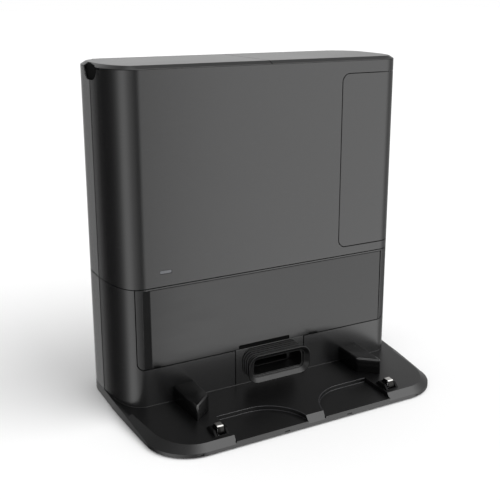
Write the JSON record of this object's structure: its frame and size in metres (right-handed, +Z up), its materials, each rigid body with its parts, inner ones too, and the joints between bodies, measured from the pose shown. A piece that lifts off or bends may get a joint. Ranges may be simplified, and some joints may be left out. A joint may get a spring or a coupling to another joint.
{
  "type": "robot vacuum docking station",
  "caption": "Docking station of a robot vacuum: base with guide blocks, charging strips and a suction port, water tanks under two lids, and a pull-out dust bin.",
  "frame": {"origin": "on the floor, under the middle of the station's outer box", "axes": "+X to the station's right as seen from the front, +Y to the back, +Z up; the robot drives in from -Y"},
  "size_m": [0.4, 0.25, 0.4175],
  "materials": {
    "black_housing": "fine satin grain",
    "black_base": "fine spark-eroded grain",
    "grey_lid": "satin",
    "gloss_black": "polished",
    "under_plastic": "plain",
    "inner_plastic": "plain",
    "rubber_black": "soft moulded",
    "contact_metal": "plated",
    "steel": "zinc plated",
    "tank_smoke": "smoked clear",
    "white_plastic": "plain",
    "hose_grey": "smooth",
    "board_green": "solder mask",
    "light_lens": "frosted lens"
  },
  "bodies": {
    "station": {"base_tray": "black_base", "bottom_cover": "under_plastic", "foot_front_left": "rubber_black", "foot_front_right": "rubber_black", "foot_rear_left": "rubber_black", "foot_rear_right": "rubber_black", "guide_block_left": "black_base", "guide_block_right": "black_base", "contact_pedestal_left": "black_base", "contact_pedestal_right": "black_base", "contact_spring_left": "steel", "contact_spring_right": "steel", "lower_front_shell": "black_housing", "lower_rear_shell": "black_housing", "upper_front_shell": "black_housing", "upper_rear_shell": "black_housing", "hinge_strip": "black_housing", "panel_trim": "black_housing", "port_bezel": "black_housing", "port_bellows": "rubber_black", "dust_duct": "inner_plastic", "duct_seal": "rubber_black", "middle_deck": "inner_plastic", "tank_divider": "inner_plastic", "bin_divider": "inner_plastic", "bin_tray": "inner_plastic", "motor_housing": "inner_plastic", "suction_motor": "steel", "hepa_filter": "white_plastic", "exhaust_grille": "under_plastic", "water_pump": "inner_plastic", "drain_pump": "inner_plastic", "water_hose": "hose_grey", "drain_hose": "hose_grey", "main_board": "board_green", "power_supply": "inner_plastic", "power_inlet": "under_plastic", "beacon_board": "board_green", "status_light": "light_lens", "housing_screws": "steel"},
    "contact_left": {"contact_strip_left": "contact_metal"},
    "contact_right": {"contact_strip_right": "contact_metal"},
    "port_mouth": {"port_lip": "rubber_black"},
    "panel": {"front_panel": "gloss_black"},
    "clean_water": {"clean_tank": "tank_smoke", "clean_tank_valve": "white_plastic", "left_lid_pins": "steel"},
    "left_cover": {"left_lid": "grey_lid", "left_lid_seal": "rubber_black"},
    "used_water": {"used_tank": "tank_smoke", "used_tank_valve": "white_plastic", "right_lid_pins": "steel"},
    "right_cover": {"right_lid": "grey_lid", "right_lid_seal": "rubber_black"},
    "dust_drawer": {"dust_bin": "tank_smoke", "bin_fascia": "black_housing", "bin_filter": "white_plastic"},
    "rotor": {"motor_shaft": "steel", "impeller": "white_plastic"}
  },
  "joints": [
    {"name": "contact_left_press", "type": "slide", "parent": "station", "child": "contact_left", "axis": [0, 0, -1], "range_m": [0, 0.002], "stiffness_N_per_m": 400, "springref_m": -0.001, "deforming": ["contact_spring_left"]},
    {"name": "contact_right_press", "type": "slide", "parent": "station", "child": "contact_right", "axis": [0, 0, -1], "range_m": [0, 0.002], "stiffness_N_per_m": 400, "springref_m": -0.001, "deforming": ["contact_spring_right"]},
    {"name": "port_press", "type": "slide", "parent": "station", "child": "port_mouth", "axis": [0, 1, 0], "range_m": [0, 0.008], "stiffness_N_per_m": 250, "deforming": ["port_bellows"]},
    {"name": "panel_pull", "type": "slide", "parent": "station", "child": "panel", "axis": [0, -1, 0], "range_m": [0, 0.12]},
    {"name": "clean_tank_lift", "type": "slide", "parent": "station", "child": "clean_water", "axis": [0, 0, 1], "range_m": [0, 0.26]},
    {"name": "left_lid_hinge", "type": "hinge", "parent": "clean_water", "child": "left_cover", "pos_m": [0, 0.116, 0.4135], "axis": [-1, 0, 0], "range_deg": [0, 85]},
    {"name": "used_tank_lift", "type": "slide", "parent": "station", "child": "used_water", "axis": [0, 0, 1], "range_m": [0, 0.26]},
    {"name": "right_lid_hinge", "type": "hinge", "parent": "used_water", "child": "right_cover", "pos_m": [0, 0.116, 0.4135], "axis": [-1, 0, 0], "range_deg": [0, 85]},
    {"name": "dust_bin_pull", "type": "slide", "parent": "station", "child": "dust_drawer", "axis": [0, -1, 0], "range_m": [0, 0.16]},
    {"name": "impeller_spin", "type": "hinge", "parent": "station", "child": "rotor", "pos_m": [0.098, 0.088, 0.1], "axis": [0, 0, 1], "continuous": true}
  ]
}
